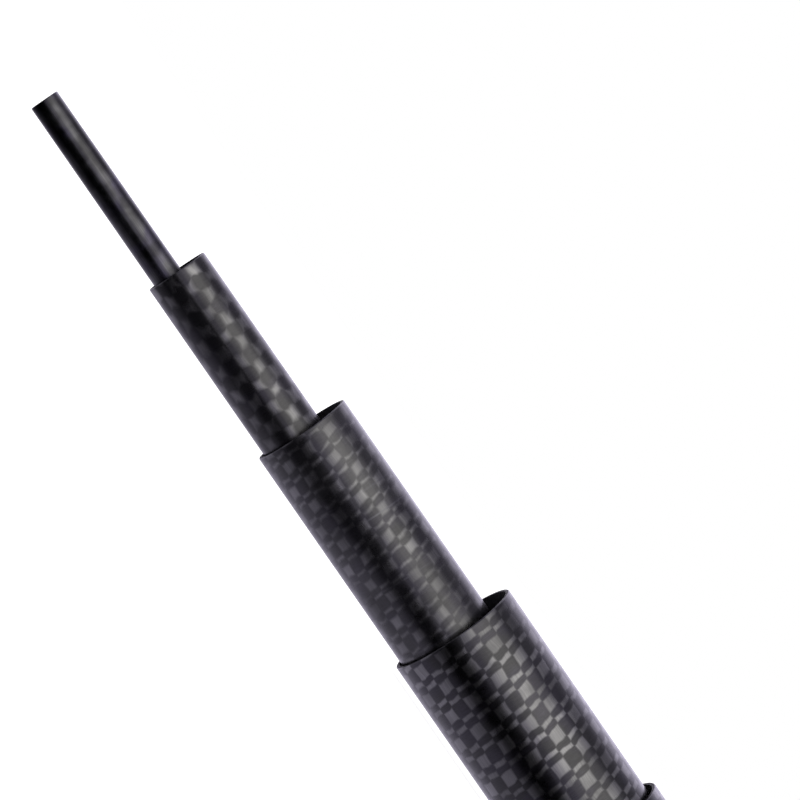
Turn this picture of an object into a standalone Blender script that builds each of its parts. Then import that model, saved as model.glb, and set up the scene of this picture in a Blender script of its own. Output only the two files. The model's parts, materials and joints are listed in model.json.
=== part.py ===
"""A telescopic carbon carp pole: a solid tip, four hollow sections and a butt, drawn a little way out of one another.

The pole lies along X on its side, its thin end towards -X, with +Z up and all sizes in metres. Each loose section
lies on the bottom of the bore round it, and slides along a line that ends coaxial with that bore, where its rear
taper locks in the other's mouth.
"""

import math
from dataclasses import dataclass

import bmesh
import bpy
from mathutils import Matrix

# Front of the pole: the thinnest tube, then the room and wall of each tube outside it.
SECOND_FRONT_RADIUS = 0.00200
SECOND_WALL = 0.00045
THIRD_ROOM = 0.00175
THIRD_WALL = 0.00050
FOURTH_ROOM = 0.00190
FOURTH_WALL = 0.00050
FIFTH_ROOM = 0.00170
FIFTH_WALL = 0.00050
BUTT_ROOM = 0.00055
BUTT_WALL = 0.00050
SECTION_REAR_WALL = 0.00055
BUTT_REAR_WALL = 0.00090
RIM_CHAMFER = 0.00010

# Lengths: the butt is the longest, and each mouth lies this far inside the next when all is pushed home.
BUTT_LENGTH = 1.130
MOUTH_STEP = 0.0030
TIP_SUNK = 0.0080

# How far each mouth stands out of the next one as the pole lies here.
FIFTH_DRAWN = 0.0319
FOURTH_DRAWN = 0.0325
THIRD_DRAWN = 0.0259
SECOND_DRAWN = 0.0276

# The locking taper at each mouth and on the rear end of the section inside it.
LOCK_TAPER = 0.0020
LOCK_ZONE = 0.080
OVERLAP = 0.070
LOCK_CLEARANCE = 0.00010
REST_GAP = 0.00030

# Solid tip and the ferrule for its cord.
TIP_FRONT_RADIUS = 0.00060
FERRULE_RADIUS = 0.00100
FERRULE_LENGTH = 0.0060
FERRULE_NOSE = 0.0015
FERRULE_HOLE_RADIUS = 0.00035
FERRULE_CLEARANCE = 0.00006
FERRULE_EDGE = 0.00020

# Grip on the rear of the butt.
GRIP_LENGTH = 0.360
GRIP_THICKNESS = 0.00090
GRIP_GROOVE_DEPTH = 0.00035
GRIP_GROOVE_WIDTH = 0.0030
GRIP_GROOVE_SIDE = 0.00075
GRIP_GROOVE_PITCH = 0.0070
GRIP_GROOVES = 2
GRIP_END_MARGIN = 0.0080
FRONT_RING_WIDTH = 0.0060
FRONT_RING_PROUD = 0.00010

# Threaded collar and screw cap.
PASS_CLEARANCE = 0.00046
COLLAR_WALL = 0.00110
COLLAR_DEPTH = 0.0120
FLANGE_THICKNESS = 0.0020
FLANGE_EDGE = 0.00040
THREAD_CLEARANCE = 0.00015
HEAD_PROUD = 0.00100
HEAD_THICKNESS = 0.0080
HEAD_CHAMFER = 0.0012
HEAD_FRONT_EDGE = 0.00060
NECK_LENGTH = 0.0140
NECK_WALL = 0.0021
NECK_EDGE = 0.00060
WEB_THICKNESS = 0.0060
RELIEF_WIDTH = 0.0010
RELIEF_DEPTH = 0.00040
REAR_DISH_DEPTH = 0.00050
REAR_DISH_RIM = 0.0026
FLUTE_COUNT = 12
FLUTE_WIDTH = 0.0050
FLUTE_DEPTH = 0.00060
DRAIN_RADIUS = 0.00100
DRAIN_CIRCLE_RADIUS = 0.0060
DRAIN_COUNT = 3
BUFFER_THICKNESS = 0.0040
BUFFER_HOLE_RADIUS = 0.0010
BUFFER_EDGE = 0.00070

# Seal between the cap's head and the collar's flange.
SEAL_GAP = 0.00040
SEAL_RADIUS = 0.00075
SEAL_SIDE_ROOM = 0.00010
SEAL_LAND = 0.0015

# Swivel and lanyard ring.
STEM_RADIUS = 0.0020
STEM_CLEARANCE = 0.00015
BUSH_WALL = 0.00085
BUSH_FLANGE_RADIUS = 0.0046
BUSH_FLANGE_THICKNESS = 0.0007
WASHER_RADIUS = 0.0044
WASHER_THICKNESS = 0.0006
RETAINER_RADIUS = 0.0040
RETAINER_THICKNESS = 0.0010
RIVET_RADIUS = 0.0028
RIVET_THICKNESS = 0.0009
RIVET_CROWN_RADIUS = 0.0017
RIVET_CROWN = 0.00055
SHOULDER_RADIUS = 0.0042
SHOULDER_THICKNESS = 0.0012
SWIVEL_NECK_RADIUS = 0.0025
SWIVEL_NECK_LENGTH = 0.0008
BALL_RADIUS = 0.0042
SWIVEL_EDGE = 0.00025
RING_WIRE_RADIUS = 0.0011
RING_BAR_CLEARANCE = 0.00025
RING_HALF_WIDTH = 0.0065
RING_CORNER_RADIUS = 0.0024
RING_REACH = 0.0119

# Gaps: flat faces that touch, glued fits, and faces that turn on each other.
FACE_GAP = 0.00030
GLUE_GAP = 0.00010
RUN_GAP = 0.00010

# Sides of the turned shapes and steps of their arcs.
TUBE_SIDES = 48
SMALL_SIDES = 32
TIP_SIDES = 24
DRAIN_SIDES = 10
FLUTE_SIDES = 32
EYE_SIDES = 20
FILLET_STEPS = 2
HEAD_STEPS = 3
SEAL_STEPS = 6
BALL_STEPS = 9
RING_CORNER_STEPS = 4
RING_BOW_STEPS = 14
WIRE_RESOLUTION = 2
SHARP_ANGLE = math.radians(30)
MERGE_DISTANCE = 1e-6
EMPTY_SIZE = 0.02


@dataclass
class Blank:
    """A tapered section: radii of its outside and its bore at the few stations where they change slope."""

    name: str
    length: float
    front_radius: float
    male_radius: float
    rear_radius: float
    bore_front: float
    bore_locked: float
    bore_rear: float

    def outside(self, station):
        """Outer radius this far behind the front end."""
        zone = self.length - LOCK_ZONE
        if station <= zone:
            return self.front_radius + (self.male_radius - self.front_radius) * station / zone
        return self.male_radius + (self.rear_radius - self.male_radius) * (station - zone) / LOCK_ZONE

    def bore(self, station):
        """Bore radius this far behind the mouth."""
        if station <= LOCK_ZONE:
            return self.bore_front + (self.bore_locked - self.bore_front) * station / LOCK_ZONE
        share = (station - LOCK_ZONE) / (self.length - LOCK_ZONE)
        return self.bore_locked + (self.bore_rear - self.bore_locked) * share


def section_blank(name, length, front_radius, wall, outer_bore):
    """A section whose rear end locks in a mouth of radius outer_bore."""
    rear = outer_bore - LOCK_CLEARANCE + LOCK_TAPER * OVERLAP
    male = rear - LOCK_TAPER * LOCK_ZONE
    bore = front_radius - wall
    locked = bore + LOCK_TAPER * LOCK_ZONE
    return Blank(name, length, front_radius, male, rear, bore, locked, rear - SECTION_REAR_WALL)


# Radii at the mouths, from the thinnest tube outwards.
third_front = SECOND_FRONT_RADIUS + THIRD_ROOM + THIRD_WALL
fourth_front = third_front + FOURTH_ROOM + FOURTH_WALL
fifth_front = fourth_front + FIFTH_ROOM + FIFTH_WALL
butt_bore = fifth_front + BUTT_ROOM
butt_front = butt_bore + BUTT_WALL

# Stations along the butt's axis, from its mouth to the rear.
collar_face = BUTT_LENGTH + FACE_GAP
head_front = collar_face + FLANGE_THICKNESS + SEAL_GAP
head_rear = head_front + HEAD_THICKNESS
neck_front = head_front - NECK_LENGTH
web_front = head_rear - WEB_THICKNESS
buffer_front = neck_front - GLUE_GAP - BUFFER_THICKNESS
grip_front = BUTT_LENGTH - GRIP_LENGTH
bush_rear = head_rear + GLUE_GAP + BUSH_FLANGE_THICKNESS
shoulder_front = bush_rear + RUN_GAP
ball_centre = shoulder_front + SHOULDER_THICKNESS + SWIVEL_NECK_LENGTH + BALL_RADIUS

# Blank lengths, which bring every rear end to the buffer when the pole is pushed home.
fifth_length = buffer_front - FACE_GAP - MOUTH_STEP
fourth_length = fifth_length - MOUTH_STEP
third_length = fourth_length - MOUTH_STEP
second_length = third_length - MOUTH_STEP
tip_length = second_length - TIP_SUNK

fifth = section_blank("fifth_section", fifth_length, fifth_front, FIFTH_WALL, butt_bore)
fourth = section_blank("fourth_section", fourth_length, fourth_front, FOURTH_WALL, fifth.bore_front)
third = section_blank("third_section", third_length, third_front, THIRD_WALL, fourth.bore_front)
second = section_blank("second_section", second_length, SECOND_FRONT_RADIUS, SECOND_WALL, third.bore_front)
tip = section_blank("tip_rod", tip_length, TIP_FRONT_RADIUS, TIP_FRONT_RADIUS, second.bore_front)

# The collar lets the widest section's rear end out of the butt, and sets the butt's rear.
collar_bore = fifth.rear_radius + PASS_CLEARANCE
butt_rear_bore = collar_bore + COLLAR_WALL + GLUE_GAP
butt_rear = butt_rear_bore + BUTT_REAR_WALL
butt_male = butt_front + (butt_rear - butt_front) * (1 - LOCK_ZONE / BUTT_LENGTH)
butt_locked = butt_bore + LOCK_TAPER * LOCK_ZONE
butt = Blank("butt_section", BUTT_LENGTH, butt_front, butt_male, butt_rear, butt_bore, butt_locked, butt_rear_bore)

flange_radius = butt_rear + GLUE_GAP + GRIP_THICKNESS
head_radius = flange_radius + HEAD_PROUD
neck_radius = collar_bore - THREAD_CLEARANCE
bush_radius = STEM_RADIUS + STEM_CLEARANCE + BUSH_WALL
cap_bore = bush_radius + GLUE_GAP
seal_circle = head_radius - SEAL_LAND - SEAL_SIDE_ROOM - SEAL_RADIUS
seal_groove_depth = 2 * SEAL_RADIUS + GLUE_GAP - SEAL_GAP
flute_edge_height = math.sqrt(head_radius**2 - (FLUTE_WIDTH / 2) ** 2)


def clear_scene():
    for obj in list(bpy.data.objects):
        bpy.data.objects.remove(obj)
    for collection in list(bpy.data.collections):
        bpy.data.collections.remove(collection)


def new_collection(name):
    collection = bpy.data.collections.new(name)
    bpy.context.scene.collection.children.link(collection)
    return collection


def finish(name, colour, roughness, metallic=0.0):
    """A plain Principled material."""
    material = bpy.data.materials.new(name)
    material.use_nodes = True
    shader = material.node_tree.nodes["Principled BSDF"]
    shader.inputs["Base Color"].default_value = (*colour, 1.0)
    shader.inputs["Roughness"].default_value = roughness
    shader.inputs["Metallic"].default_value = metallic
    return material


def make_empty(name, collection, parent, matrix):
    """A frame on an axis: X runs to the rear of the pole."""
    empty = bpy.data.objects.new(name, None)
    empty.empty_display_size = EMPTY_SIZE
    collection.objects.link(empty)
    empty.parent = parent
    empty.matrix_local = matrix
    return empty


def turn_matrix(sides):
    """Stands the screw's axis, local -Z, along +X, with the middle of a side at the bottom."""
    return Matrix.Rotation(-math.pi / 2, 4, "Y") @ Matrix.Rotation(math.pi / sides, 4, "Z")


def arc(station, radius, size, start, end, steps):
    """Stations and radii along an arc about a point of the profile, angles from the rear, in degrees."""
    angles = [math.radians(start + (end - start) * i / steps) for i in range(steps + 1)]
    return [(station + size * math.cos(a), radius + size * math.sin(a)) for a in angles]


def turned(name, outline, collection, parent, material, sides=TUBE_SIDES, closed=True):
    """Turns an outline of stations and radii, which runs to the rear along its outer side, about the parent's X."""
    mesh = bpy.data.meshes.new(name)
    form = bmesh.new()
    points = [form.verts.new((radius, 0.0, -station)) for station, radius in outline]
    for first, second_point in zip(points, points[1:]):
        form.edges.new((first, second_point))
    if closed:
        form.edges.new((points[-1], points[0]))
    form.to_mesh(mesh)
    form.free()
    mesh.materials.append(material)
    obj = bpy.data.objects.new(name, mesh)
    collection.objects.link(obj)
    obj.parent = parent
    obj.matrix_local = turn_matrix(sides)
    screw = obj.modifiers.new("turn", "SCREW")
    screw.axis = "Z"
    screw.angle = 2 * math.pi
    screw.steps = sides
    screw.render_steps = sides
    screw.use_merge_vertices = True
    screw.merge_threshold = MERGE_DISTANCE
    screw.use_smooth_shade = True
    return obj


def cut(obj, cutter):
    """Takes the cutter's shape out of the object."""
    cutter.hide_render = True
    cutter.display_type = "WIRE"
    boolean = obj.modifiers.new("cut_" + cutter.name, "BOOLEAN")
    boolean.operation = "DIFFERENCE"
    boolean.solver = "EXACT"
    boolean.object = cutter


def rods(name, places, radius, length, sides, collection, parent, axis="X"):
    """Closed cylinders in one cutter: each stands at its place with its length along the axis."""
    turn = Matrix.Rotation(math.pi / 2, 4, "Y" if axis == "X" else "X")
    mesh = bpy.data.meshes.new(name)
    form = bmesh.new()
    for place in places:
        matrix = Matrix.Translation(place) @ turn
        bmesh.ops.create_cone(
            form, cap_ends=True, segments=sides, radius1=radius, radius2=radius, depth=length, matrix=matrix
        )
    form.to_mesh(mesh)
    form.free()
    obj = bpy.data.objects.new(name, mesh)
    collection.objects.link(obj)
    obj.parent = parent
    return obj


def tube_outline(blank):
    """Outer side from the mouth to the rear, then the bore back to the mouth."""
    return [
        (0.0, blank.front_radius - RIM_CHAMFER),
        (RIM_CHAMFER, blank.front_radius),
        (blank.length - LOCK_ZONE, blank.male_radius),
        (blank.length - RIM_CHAMFER, blank.rear_radius),
        (blank.length, blank.rear_radius - RIM_CHAMFER),
        (blank.length, blank.bore_rear),
        (LOCK_ZONE, blank.bore_locked),
        (0.0, blank.bore_front),
    ]


def rest_line(outer, inner, drawn, nose=0.0, nose_radius=None):
    """How far the inner section's axis lies below the outer's at its mouth, and how fast that grows to the rear."""
    near = max(0.0, -drawn - nose)
    near_radius = inner.outside(near + drawn) if nose_radius is None else nose_radius
    far = inner.length - drawn
    near_sag = outer.bore(near) - near_radius - REST_GAP
    far_sag = outer.bore(min(far, outer.length)) - inner.rear_radius - REST_GAP
    slope = (far_sag - near_sag) / (far - near)
    return near_sag - slope * near, slope


def seat_section(outer, inner, drawn, parent, collection, nose=0.0, nose_radius=None):
    """Frames for a section that lies in the outer one's bore: its slide, then its own axis."""
    sag, slope = rest_line(outer, inner, drawn, nose, nose_radius)
    travel = inner.length - OVERLAP - drawn
    rise = (sag + slope * (travel + OVERLAP / 2)) / travel
    direction = Matrix.Rotation(math.atan(rise), 4, "Y")
    slide = make_empty(inner.name + "_slide", collection, parent, direction)
    mouth = Matrix.Translation((-drawn, 0.0, slope * drawn - sag))
    pose = mouth @ Matrix.Rotation(math.atan(slope), 4, "Y")
    return make_empty(inner.name + "_axis", collection, slide, direction.inverted() @ pose)


def make_tip(collection, axis):
    """The solid top section, round at its rear end."""
    carbon = finish("tip_carbon", (0.020, 0.020, 0.022), 0.25)
    outline = [
        (0.0, 0.0),
        (0.0, tip.front_radius),
        (tip.length - LOCK_ZONE, tip.male_radius),
        (tip.length - RIM_CHAMFER, tip.rear_radius),
        (tip.length, tip.rear_radius - RIM_CHAMFER),
        (tip.length, 0.0),
    ]
    turned("tip_rod", outline, collection, axis, carbon, TIP_SIDES, closed=False)


def make_ferrule(collection, axis):
    """A sleeve over the front of the tip, with a hole in its nose for the cord."""
    steel = finish("ferrule_steel", (0.56, 0.56, 0.58), 0.3, 1.0)
    socket = tip.outside(FERRULE_LENGTH) + FERRULE_CLEARANCE
    outline = [
        (-FERRULE_NOSE, FERRULE_HOLE_RADIUS),
        (-FERRULE_NOSE, FERRULE_RADIUS - FERRULE_EDGE),
        (-FERRULE_NOSE + FERRULE_EDGE, FERRULE_RADIUS),
        (FERRULE_LENGTH - FERRULE_EDGE, FERRULE_RADIUS),
        (FERRULE_LENGTH, FERRULE_RADIUS - FERRULE_EDGE / 2),
        (FERRULE_LENGTH, socket),
        (-FACE_GAP / 2, socket),
        (-FACE_GAP / 2, FERRULE_HOLE_RADIUS),
    ]
    turned("tip_ferrule", outline, collection, axis, steel, TIP_SIDES)


def make_grip(collection, axis):
    """Shrunk rubber sleeve with grooves near both ends, and the trim ring in front of it."""
    rubber = finish("grip_rubber", (0.025, 0.025, 0.025), 0.75)
    start = grip_front
    end = BUTT_LENGTH

    def top(station):
        return butt.outside(station) + GLUE_GAP + GRIP_THICKNESS

    def groove(station):
        far = station + GRIP_GROOVE_WIDTH
        stations = (station, station + GRIP_GROOVE_SIDE, far - GRIP_GROOVE_SIDE, far)
        depths = (0.0, GRIP_GROOVE_DEPTH, GRIP_GROOVE_DEPTH, 0.0)
        return [(x, top(x) - depth) for x, depth in zip(stations, depths)]

    outline = [(start, top(start) - GRIP_THICKNESS / 2), (start + GRIP_THICKNESS / 2, top(start))]
    rear_grooves = end - GRIP_END_MARGIN - (GRIP_GROOVES - 1) * GRIP_GROOVE_PITCH - GRIP_GROOVE_WIDTH
    for first in (start + GRIP_END_MARGIN, rear_grooves):
        for i in range(GRIP_GROOVES):
            outline += groove(first + i * GRIP_GROOVE_PITCH)
    outline += [
        (end, top(end)),
        (end, butt.outside(end) + GLUE_GAP),
        (start, butt.outside(start) + GLUE_GAP),
    ]
    turned("grip_sleeve", outline, collection, axis, rubber)

    alloy = finish("ring_alloy", (0.30, 0.30, 0.32), 0.3, 1.0)
    rear = start - FACE_GAP
    front = rear - FRONT_RING_WIDTH
    crown = top(rear) + FRONT_RING_PROUD
    fillet = GRIP_THICKNESS / 2
    outline = [
        (front, butt.outside(rear) + GLUE_GAP + fillet / 2),
        *arc(front + fillet, crown - fillet, fillet, 180, 90, FILLET_STEPS),
        *arc(rear - fillet, crown - fillet, fillet, 90, 0, FILLET_STEPS),
        (rear, butt.outside(rear) + GLUE_GAP),
        (front + fillet / 2, butt.outside(rear) + GLUE_GAP),
    ]
    turned("grip_front_ring", outline, collection, axis, alloy)


def make_collar(collection, axis):
    """Insert for the cap's thread: a sleeve in the butt's bore and a flange over the ends of butt and grip."""
    alloy = finish("collar_alloy", (0.32, 0.32, 0.34), 0.35, 1.0)
    front = BUTT_LENGTH - COLLAR_DEPTH
    sleeve = butt.bore(front) - GLUE_GAP
    rear = collar_face + FLANGE_THICKNESS
    outline = [
        (front, sleeve - FLANGE_EDGE),
        (front + FLANGE_EDGE, sleeve),
        (collar_face, sleeve),
        (collar_face, flange_radius - FLANGE_EDGE),
        (collar_face + FLANGE_EDGE, flange_radius),
        (rear - FLANGE_EDGE, flange_radius),
        (rear, flange_radius - FLANGE_EDGE),
        (rear, collar_bore + FLANGE_EDGE),
        (rear - FLANGE_EDGE, collar_bore),
        (front, collar_bore),
    ]
    turned("butt_collar", outline, collection, axis, alloy)


def make_seal(collection, axis):
    """O-ring in the groove of the cap's head."""
    rubber = finish("seal_rubber", (0.02, 0.02, 0.02), 0.6)
    middle = head_front + seal_groove_depth - GLUE_GAP / 2 - SEAL_RADIUS
    outline = arc(middle, seal_circle, SEAL_RADIUS, 180, -180, SEAL_STEPS)[:-1]
    turned("cap_seal_ring", outline, collection, axis, rubber)


def make_cap(collection, cutters, axis):
    """Screw cap: fluted head, hollow neck, seal groove, dished rear face, drain holes and the swivel's bore."""
    alloy = finish("cap_alloy", (0.08, 0.08, 0.09), 0.35, 1.0)
    relief = neck_radius - RELIEF_DEPTH
    groove_low = seal_circle - SEAL_RADIUS - SEAL_SIDE_ROOM
    groove_high = seal_circle + SEAL_RADIUS + SEAL_SIDE_ROOM
    recess = neck_radius - NECK_WALL
    dish = head_radius - HEAD_CHAMFER - REAR_DISH_RIM
    boss = BUSH_FLANGE_RADIUS + REAR_DISH_DEPTH
    outline = [
        (neck_front, neck_radius - NECK_EDGE),
        (neck_front + NECK_EDGE, neck_radius),
        (head_front - RELIEF_WIDTH - RELIEF_DEPTH, neck_radius),
        (head_front - RELIEF_WIDTH, relief),
        (head_front, relief),
        (head_front, groove_low),
        (head_front + seal_groove_depth, groove_low),
        (head_front + seal_groove_depth, groove_high),
        (head_front, groove_high),
        (head_front, head_radius - HEAD_FRONT_EDGE),
        (head_front + HEAD_FRONT_EDGE, head_radius),
        *arc(head_rear - HEAD_CHAMFER, head_radius - HEAD_CHAMFER, HEAD_CHAMFER, 90, 0, HEAD_STEPS),
        (head_rear, dish + REAR_DISH_DEPTH),
        (head_rear - REAR_DISH_DEPTH, dish),
        (head_rear - REAR_DISH_DEPTH, boss + REAR_DISH_DEPTH),
        (head_rear, boss),
        (head_rear, cap_bore),
        (web_front, cap_bore),
        (web_front, recess),
        (neck_front, recess),
    ]
    cap = turned("butt_cap", outline, collection, axis, alloy)

    # One flute faces straight down, so that the head stands on the two lands beside it.
    radius = ((FLUTE_WIDTH / 2) ** 2 + FLUTE_DEPTH**2) / (2 * FLUTE_DEPTH)
    circle = flute_edge_height + radius - FLUTE_DEPTH
    turns = [2 * math.pi * i / FLUTE_COUNT for i in range(FLUTE_COUNT)]
    middle = (head_front + head_rear) / 2
    places = [(middle, circle * math.sin(a), circle * math.cos(a)) for a in turns]
    cut(cap, rods("flute_cutter", places, radius, 2 * HEAD_THICKNESS, FLUTE_SIDES, cutters, axis))
    turns = [2 * math.pi * i / DRAIN_COUNT for i in range(DRAIN_COUNT)]
    middle = (web_front + head_rear) / 2
    places = [
        (middle, DRAIN_CIRCLE_RADIUS * math.sin(a), DRAIN_CIRCLE_RADIUS * math.cos(a)) for a in turns
    ]
    cut(cap, rods("drain_cutter", places, DRAIN_RADIUS, 2 * WEB_THICKNESS, DRAIN_SIDES, cutters, axis))


def make_buffer(collection, axis):
    """Soft pad on the cap's neck, which the rear ends of the sections rest on."""
    foam = finish("buffer_foam", (0.05, 0.05, 0.05), 0.9)
    rear = neck_front - GLUE_GAP
    radius = neck_radius - GLUE_GAP
    outline = [
        (buffer_front, radius - BUFFER_EDGE),
        (buffer_front + BUFFER_EDGE, radius),
        (rear, radius),
        (rear, BUFFER_HOLE_RADIUS),
        (buffer_front, BUFFER_HOLE_RADIUS),
    ]
    turned("cap_buffer", outline, collection, axis, foam)


def make_bush(collection, axis):
    """Flanged bush that the swivel's stem turns in."""
    brass = finish("bush_brass", (0.66, 0.52, 0.24), 0.3, 1.0)
    bore = STEM_RADIUS + STEM_CLEARANCE
    face = head_rear + GLUE_GAP
    outline = [
        (web_front, bore),
        (web_front, bush_radius),
        (face, bush_radius),
        (face, BUSH_FLANGE_RADIUS),
        (bush_rear - SWIVEL_EDGE, BUSH_FLANGE_RADIUS),
        (bush_rear, BUSH_FLANGE_RADIUS - SWIVEL_EDGE),
        (bush_rear, bore),
    ]
    turned("swivel_bush", outline, collection, axis, brass, SMALL_SIDES)


def make_swivel(collection, cutters, axis):
    """Stem with a shoulder and a cross-bored ball behind the cap, and inside it the washer, retainer and rivet head."""
    steel = finish("swivel_steel", (0.60, 0.60, 0.62), 0.22, 1.0)
    washer_rear = web_front - RUN_GAP
    washer_front = washer_rear - WASHER_THICKNESS
    retainer_rear = washer_front - RUN_GAP
    retainer_front = retainer_rear - RETAINER_THICKNESS
    rivet_rear = retainer_front - GLUE_GAP / 2
    rivet_front = rivet_rear - RIVET_THICKNESS
    shoulder_rear = shoulder_front + SHOULDER_THICKNESS
    meet = math.degrees(math.asin(SWIVEL_NECK_RADIUS / BALL_RADIUS))
    outline = [
        (rivet_front, 0.0),
        (rivet_front, RIVET_CROWN_RADIUS),
        (rivet_front + RIVET_CROWN, RIVET_RADIUS),
        (rivet_rear, RIVET_RADIUS),
        (rivet_rear, STEM_RADIUS),
        (shoulder_front, STEM_RADIUS),
        (shoulder_front, SHOULDER_RADIUS - SWIVEL_EDGE),
        (shoulder_front + SWIVEL_EDGE, SHOULDER_RADIUS),
        (shoulder_rear - SWIVEL_EDGE, SHOULDER_RADIUS),
        (shoulder_rear, SHOULDER_RADIUS - SWIVEL_EDGE),
        (shoulder_rear, SWIVEL_NECK_RADIUS),
        *arc(ball_centre, 0.0, BALL_RADIUS, 180 - meet, 0, BALL_STEPS)[:-1],
        (ball_centre + BALL_RADIUS, 0.0),
    ]
    eye = turned("swivel_eye", outline, collection, axis, steel, SMALL_SIDES, closed=False)
    hole = RING_WIRE_RADIUS + RING_BAR_CLEARANCE
    place = (ball_centre, 0.0, 0.0)
    cut(eye, rods("eye_cutter", [place], hole, 4 * BALL_RADIUS, EYE_SIDES, cutters, axis, "Y"))

    nylon = finish("washer_nylon", (0.80, 0.80, 0.76), 0.5)
    bore = STEM_RADIUS + STEM_CLEARANCE
    outline = [
        (washer_front, WASHER_RADIUS),
        (washer_rear, WASHER_RADIUS),
        (washer_rear, bore),
        (washer_front, bore),
    ]
    turned("swivel_washer", outline, collection, axis, nylon, SMALL_SIDES)

    bore = STEM_RADIUS + GLUE_GAP / 2
    outline = [
        (retainer_front, RETAINER_RADIUS - SWIVEL_EDGE),
        (retainer_front + SWIVEL_EDGE, RETAINER_RADIUS),
        (retainer_rear, RETAINER_RADIUS),
        (retainer_rear, bore),
        (retainer_front, bore),
    ]
    turned("swivel_retainer", outline, collection, axis, steel, SMALL_SIDES)


def make_lanyard_ring(collection, axis):
    """D-ring of round wire, hanging from its bar in the swivel's ball."""
    steel = finish("ring_steel", (0.60, 0.60, 0.62), 0.2, 1.0)
    corner = RING_HALF_WIDTH - RING_CORNER_RADIUS
    bow = RING_REACH - RING_HALF_WIDTH
    points = arc(corner, -RING_CORNER_RADIUS, RING_CORNER_RADIUS, 90, 0, RING_CORNER_STEPS)
    points += arc(0.0, -bow, RING_HALF_WIDTH, 0, -180, RING_BOW_STEPS)
    points += arc(-corner, -RING_CORNER_RADIUS, RING_CORNER_RADIUS, 180, 90, RING_CORNER_STEPS)
    curve = bpy.data.curves.new("lanyard_ring", "CURVE")
    curve.dimensions = "3D"
    curve.bevel_depth = RING_WIRE_RADIUS
    curve.bevel_resolution = WIRE_RESOLUTION
    spline = curve.splines.new("POLY")
    spline.points.add(len(points) - 1)
    for point, (y, z) in zip(spline.points, points):
        point.co = (0.0, y, z, 1.0)
    spline.use_cyclic_u = True
    curve.materials.append(steel)
    obj = bpy.data.objects.new("lanyard_ring", curve)
    collection.objects.link(obj)
    obj.parent = axis


def set_shapes(collection):
    """Gives each object the mesh that its modifiers or its curve make, smooth but for its sharp edges."""
    bpy.context.view_layer.update()
    depsgraph = bpy.context.evaluated_depsgraph_get()
    for obj in [obj for obj in collection.objects if obj.type != "EMPTY"]:
        mesh = bpy.data.meshes.new_from_object(obj.evaluated_get(depsgraph))
        mesh.shade_smooth()
        mesh.set_sharp_from_angle(angle=SHARP_ANGLE)
        shape = bpy.data.objects.new(obj.name, mesh)
        collection.objects.link(shape)
        shape.parent = obj.parent
        shape.matrix_local = obj.matrix_basis
        name = obj.name
        bpy.data.objects.remove(obj)
        shape.name = name
        mesh.name = name


def floor_tilt():
    """Slope of the butt's axis as its head and its mouth lie on a floor, clear of the grip's front ring."""
    contact = head_rear - HEAD_CHAMFER
    ring = grip_front - FACE_GAP - FRONT_RING_WIDTH
    ring_radius = butt.outside(grip_front) + GLUE_GAP + GRIP_THICKNESS + FRONT_RING_PROUD
    return min(
        (flute_edge_height - butt.front_radius) / contact,
        (flute_edge_height - ring_radius) / (contact - ring),
    )


def stand_on_floor(root, collection):
    """Brings the middle of the whole object's box over the origin, with its lowest point at Z 0."""
    bpy.context.view_layer.update()
    solids = [obj for obj in collection.objects if obj.type == "MESH"]
    places = [obj.matrix_world @ vertex.co for obj in solids for vertex in obj.data.vertices]
    lows = [min(place[i] for place in places) for i in range(3)]
    highs = [max(place[i] for place in places) for i in range(3)]
    root.location.x -= (lows[0] + highs[0]) / 2
    root.location.y -= (lows[1] + highs[1]) / 2
    root.location.z -= lows[2]


def main():
    clear_scene()
    pole = new_collection("carp_pole")
    cutters = new_collection("cutters")

    root = make_empty("butt_axis", pole, None, Matrix.Rotation(-math.atan(floor_tilt()), 4, "Y"))
    fifth_axis = seat_section(butt, fifth, FIFTH_DRAWN, root, pole)
    fourth_axis = seat_section(fifth, fourth, FOURTH_DRAWN, fifth_axis, pole)
    third_axis = seat_section(fourth, third, THIRD_DRAWN, fourth_axis, pole)
    second_axis = seat_section(third, second, SECOND_DRAWN, third_axis, pole)
    tip_axis = seat_section(second, tip, -TIP_SUNK, second_axis, pole, FERRULE_NOSE, FERRULE_RADIUS)

    weave = finish("carbon_weave", (0.035, 0.035, 0.040), 0.25)
    plain = finish("plain_carbon", (0.012, 0.012, 0.014), 0.18)
    for blank, axis in ((butt, root), (fifth, fifth_axis), (fourth, fourth_axis), (third, third_axis)):
        turned(blank.name, tube_outline(blank), pole, axis, weave)
    turned(second.name, tube_outline(second), pole, second_axis, plain)
    make_tip(pole, tip_axis)
    make_ferrule(pole, tip_axis)

    make_grip(pole, root)
    make_collar(pole, root)
    cap_axis = make_empty("cap_axis", pole, root, Matrix.Identity(4))
    make_seal(pole, cap_axis)
    make_cap(pole, cutters, cap_axis)
    make_buffer(pole, cap_axis)
    make_bush(pole, cap_axis)
    swivel_axis = make_empty("swivel_axis", pole, cap_axis, Matrix.Identity(4))
    make_swivel(pole, cutters, swivel_axis)
    ring_axis = make_empty("ring_axis", pole, swivel_axis, Matrix.Translation((ball_centre, 0.0, 0.0)))
    make_lanyard_ring(pole, ring_axis)
    set_shapes(pole)
    stand_on_floor(root, pole)


main()
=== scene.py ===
"""Dresses a telescopic carbon carp pole: woven sections, grip, screw cap, swivel and lanyard ring."""

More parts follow.
